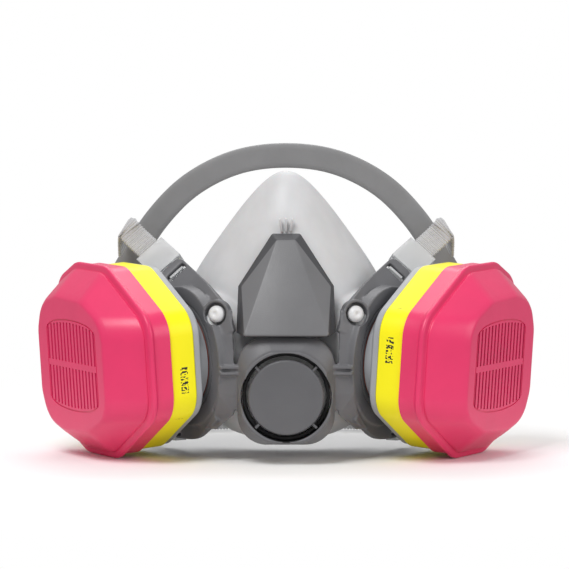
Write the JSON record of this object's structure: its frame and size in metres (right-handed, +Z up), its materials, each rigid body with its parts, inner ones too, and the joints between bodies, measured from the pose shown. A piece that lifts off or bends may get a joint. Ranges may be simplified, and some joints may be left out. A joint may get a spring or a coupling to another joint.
{
  "type": "half-mask respirator",
  "caption": "Half-mask respirator: soft face cup with a faceted front plate, exhalation valve, twist-on filter cartridges and an adjustable head harness.",
  "frame": {"origin": "on the ground at the middle of the footprint, with the mask standing on the lower rims of its cartridges", "axes": "+Z up, -Y out of the front of the mask, +X to the right of a viewer who faces the front"},
  "size_m": [0.2162, 0.1484, 0.133],
  "materials": {
    "elastomer": "satin moulded elastomer",
    "dark_plastic": "fine-grained moulded plastic",
    "port_plastic": "moulded plastic",
    "base_plastic": "moulded plastic",
    "valve_rubber": "thin silicone",
    "gasket_rubber": "soft rubber",
    "band_yellow": "printed label",
    "cover_magenta": "satin moulded plastic",
    "sorbent": "packed granules",
    "filter_media": "filter felt",
    "clear_plastic": "clear moulded plastic",
    "webbing": "ribbed elastic webbing"
  },
  "bodies": {
    "mask": {"facepiece": "elastomer", "exhalation_seat": "port_plastic", "front_plate": "dark_plastic", "harness_yoke": "dark_plastic", "yoke_stud_left": "port_plastic", "yoke_stud_right": "port_plastic", "inhalation_port_left": "port_plastic", "inhalation_port_right": "port_plastic", "port_gasket_left": "gasket_rubber", "port_gasket_right": "gasket_rubber"},
    "valve_cover": {"valve_cover": "dark_plastic"},
    "exhalation_flap": {"exhalation_flap": "valve_rubber"},
    "head_harness": {"upper_buckle_left": "clear_plastic", "upper_buckle_right": "clear_plastic", "upper_webbing_left": "webbing", "upper_webbing_right": "webbing", "head_cradle": "dark_plastic"},
    "cartridge_left": {"cartridge_base_left": "base_plastic", "cartridge_band_left": "band_yellow", "sorbent_bed_left": "sorbent", "filter_pad_left": "filter_media", "filter_cover_left": "cover_magenta"},
    "inhalation_flap_left": {"inhalation_flap_left": "valve_rubber"},
    "neck_strap_left": {"lower_buckle_left": "clear_plastic", "neck_strap_left": "webbing", "clasp_hook": "dark_plastic"},
    "cartridge_right": {"cartridge_base_right": "base_plastic", "cartridge_band_right": "band_yellow", "sorbent_bed_right": "sorbent", "filter_pad_right": "filter_media", "filter_cover_right": "cover_magenta"},
    "inhalation_flap_right": {"inhalation_flap_right": "valve_rubber"},
    "neck_strap_right": {"lower_buckle_right": "clear_plastic", "neck_strap_right": "webbing", "clasp_loop": "dark_plastic"}
  },
  "joints": [
    {"name": "valve_cover_pull", "type": "slide", "parent": "mask", "child": "valve_cover", "axis": [0, -1, 0], "range_m": [0, 0.012]},
    {"name": "exhalation_flap_lift", "type": "slide", "parent": "mask", "child": "exhalation_flap", "axis": [0, -1, 0], "range_m": [0, 0.002], "stiffness_N_per_m": 40},
    {"name": "head_harness_swing", "type": "hinge", "parent": "mask", "child": "head_harness", "pos_m": [0, -0.02309, 0.07889], "axis": [1, 0, 0], "range_deg": [-12, 12]},
    {"name": "cartridge_twist_left", "type": "hinge", "parent": "mask", "child": "cartridge_left", "pos_m": [-0.044, -0.03438, 0.04406], "axis": [-0.8639, -0.4988, -0.0698], "range_deg": [0, 40]},
    {"name": "inhalation_flap_lift_left", "type": "slide", "parent": "mask", "child": "inhalation_flap_left", "axis": [0.8639, 0.4988, 0.0698], "range_m": [0, 0.0025], "stiffness_N_per_m": 40},
    {"name": "neck_strap_swing_left", "type": "hinge", "parent": "mask", "child": "neck_strap_left", "pos_m": [-0.0455, -0.01988, 0.01259], "axis": [0, 0, 1], "range_deg": [0, 15]},
    {"name": "cartridge_twist_right", "type": "hinge", "parent": "mask", "child": "cartridge_right", "pos_m": [0.044, -0.03438, 0.04406], "axis": [-0.8639, 0.4988, 0.0698], "range_deg": [0, 40]},
    {"name": "inhalation_flap_lift_right", "type": "slide", "parent": "mask", "child": "inhalation_flap_right", "axis": [-0.8639, 0.4988, 0.0698], "range_m": [0, 0.0025], "stiffness_N_per_m": 40},
    {"name": "neck_strap_swing_right", "type": "hinge", "parent": "mask", "child": "neck_strap_right", "pos_m": [0.0455, -0.01988, 0.01259], "axis": [0, 0, -1], "range_deg": [0, 15]}
  ]
}
